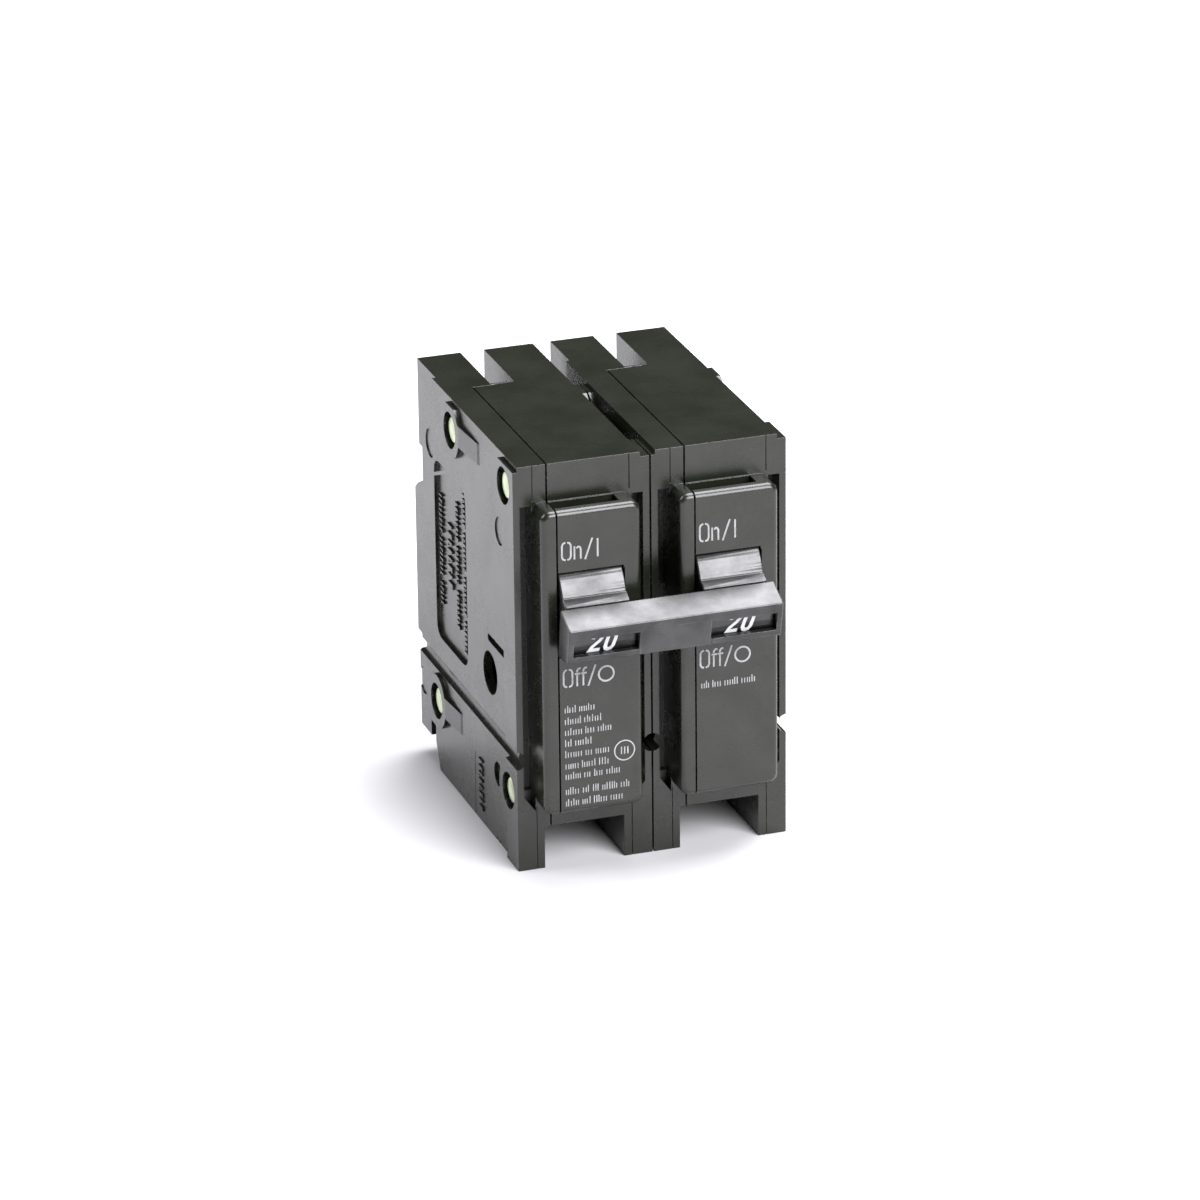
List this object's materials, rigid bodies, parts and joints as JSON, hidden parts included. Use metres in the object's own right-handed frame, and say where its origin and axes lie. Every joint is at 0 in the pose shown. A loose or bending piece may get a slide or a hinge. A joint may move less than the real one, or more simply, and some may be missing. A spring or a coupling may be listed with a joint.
{
  "type": "circuit breaker",
  "caption": "Plug-on circuit breaker with paired poles, toggle handles joined by a tie bar, common trip, rear stab jaws and front-facing load screws.",
  "frame": {"origin": "under the middle of the whole breaker, at the height of its feet", "axes": "+X across the poles, to the right seen from the front; +Y from the handles back to the panel; +Z from the load end up to the line end"},
  "size_m": [0.0506, 0.0746, 0.0765],
  "materials": {
    "moulding": "semi-gloss black thermoset moulding",
    "handle": "smooth black moulding, worn bright on its edges",
    "copper": "bright copper",
    "tinned_copper": "dull tinned copper",
    "silver": "silver alloy contact",
    "steel": "stamped steel",
    "spring_steel": "spring steel",
    "zinc_steel": "zinc plated, faint yellow-green",
    "bimetal": "rolled bimetal strip",
    "fibre": "vulcanised fibre sheet"
  },
  "bodies": {
    "case": {"cover_left": "moulding", "case_left": "moulding", "stationary_contact_left": "silver", "line_jaw_left": "tinned_copper", "jaw_spring_left": "spring_steel", "arc_holder_left": "fibre", "armature_spring_left": "spring_steel", "magnet_yoke_left": "steel", "bimetal_left": "bimetal", "braid_left": "copper", "load_strap_left": "tinned_copper", "calibration_screw_left": "zinc_steel", "arc_plate_left_1": "steel", "arc_plate_left_2": "steel", "arc_plate_left_3": "steel", "arc_plate_left_4": "steel", "cover_right": "moulding", "case_right": "moulding", "stationary_contact_right": "silver", "line_jaw_right": "tinned_copper", "jaw_spring_right": "spring_steel", "arc_holder_right": "fibre", "armature_spring_right": "spring_steel", "magnet_yoke_right": "steel", "bimetal_right": "bimetal", "braid_right": "copper", "load_strap_right": "tinned_copper", "calibration_screw_right": "zinc_steel", "arc_plate_right_1": "steel", "arc_plate_right_2": "steel", "arc_plate_right_3": "steel", "arc_plate_right_4": "steel", "rivet_1": "zinc_steel", "rivet_2": "zinc_steel", "rivet_3": "zinc_steel", "rivet_4": "zinc_steel"},
    "handles": {"handle_left": "handle", "handle_right": "handle", "handle_tie": "handle"},
    "trip_bar": {"trip_crossbar": "handle"},
    "arm_left": {"contact_arm_left": "copper", "moving_contact_left": "silver"},
    "cradle_left": {"cradle_left": "steel", "toggle_spring_left": "spring_steel"},
    "armature_left": {"armature_left": "steel"},
    "clamp_left": {"clamp_plate_left": "zinc_steel"},
    "screw_left": {"terminal_screw_left": "zinc_steel"},
    "arm_right": {"contact_arm_right": "copper", "moving_contact_right": "silver"},
    "cradle_right": {"cradle_right": "steel", "toggle_spring_right": "spring_steel"},
    "armature_right": {"armature_right": "steel"},
    "clamp_right": {"clamp_plate_right": "zinc_steel"},
    "screw_right": {"terminal_screw_right": "zinc_steel"}
  },
  "joints": [
    {"name": "handle_swing", "type": "hinge", "parent": "case", "child": "handles", "pos_m": [0, -0.01974, 0.05015], "axis": [-1, 0, 0], "range_deg": [0, 24], "deforming": ["toggle_spring_left", "toggle_spring_right", "braid_left", "braid_right"]},
    {"name": "trip_bar_turn", "type": "hinge", "parent": "case", "child": "trip_bar", "pos_m": [0, -0.00584, 0.0315], "axis": [-1, 0, 0], "range_deg": [0, 20], "stiffness_Nm_per_rad": 0.01, "springref_deg": -20.05, "deforming": ["armature_spring_left", "armature_spring_right"]},
    {"name": "arm_left_swing", "type": "hinge", "parent": "handles", "child": "arm_left", "pos_m": [-0.0132, -0.01101, 0.05233], "axis": [1, 0, 0], "range_deg": [0, 54]},
    {"name": "cradle_left_swing", "type": "hinge", "parent": "case", "child": "cradle_left", "pos_m": [-0.0106, 0.00726, 0.062], "axis": [1, 0, 0], "range_deg": [0, 9.9]},
    {"name": "armature_left_tilt", "type": "hinge", "parent": "case", "child": "armature_left", "pos_m": [-0.0132, -0.00224, 0.0223], "axis": [-1, 0, 0], "range_deg": [0, 8]},
    {"name": "screw_left_travel", "type": "slide", "parent": "case", "child": "clamp_left", "axis": [0, 1, 0], "range_m": [0, 0.004]},
    {"name": "screw_left_turn", "type": "hinge", "parent": "clamp_left", "child": "screw_left", "pos_m": [-0.01285, -0.00174, 0.0056], "axis": [0, 1, 0], "range_deg": [0, 1440]},
    {"name": "arm_right_swing", "type": "hinge", "parent": "handles", "child": "arm_right", "pos_m": [0.0122, -0.01101, 0.05233], "axis": [1, 0, 0], "range_deg": [0, 54]},
    {"name": "cradle_right_swing", "type": "hinge", "parent": "case", "child": "cradle_right", "pos_m": [0.0148, 0.00726, 0.062], "axis": [1, 0, 0], "range_deg": [0, 9.9]},
    {"name": "armature_right_tilt", "type": "hinge", "parent": "case", "child": "armature_right", "pos_m": [0.0122, -0.00224, 0.0223], "axis": [-1, 0, 0], "range_deg": [0, 8]},
    {"name": "screw_right_travel", "type": "slide", "parent": "case", "child": "clamp_right", "axis": [0, 1, 0], "range_m": [0, 0.004]},
    {"name": "screw_right_turn", "type": "hinge", "parent": "clamp_right", "child": "screw_right", "pos_m": [0.01255, -0.00174, 0.0056], "axis": [0, 1, 0], "range_deg": [0, 1440]}
  ],
  "couplings": [
    {"joint": "arm_left_swing", "follows": "handle_swing", "ratio": 2.25},
    {"joint": "cradle_left_swing", "follows": "trip_bar_turn", "ratio": 0.495},
    {"joint": "armature_left_tilt", "follows": "trip_bar_turn", "ratio": 0.4},
    {"joint": "screw_left_turn", "follows": "screw_left_travel", "rad_per_m": 6283.2},
    {"joint": "arm_right_swing", "follows": "handle_swing", "ratio": 2.25},
    {"joint": "cradle_right_swing", "follows": "trip_bar_turn", "ratio": 0.495},
    {"joint": "armature_right_tilt", "follows": "trip_bar_turn", "ratio": 0.4},
    {"joint": "screw_right_turn", "follows": "screw_right_travel", "rad_per_m": 6283.2}
  ]
}
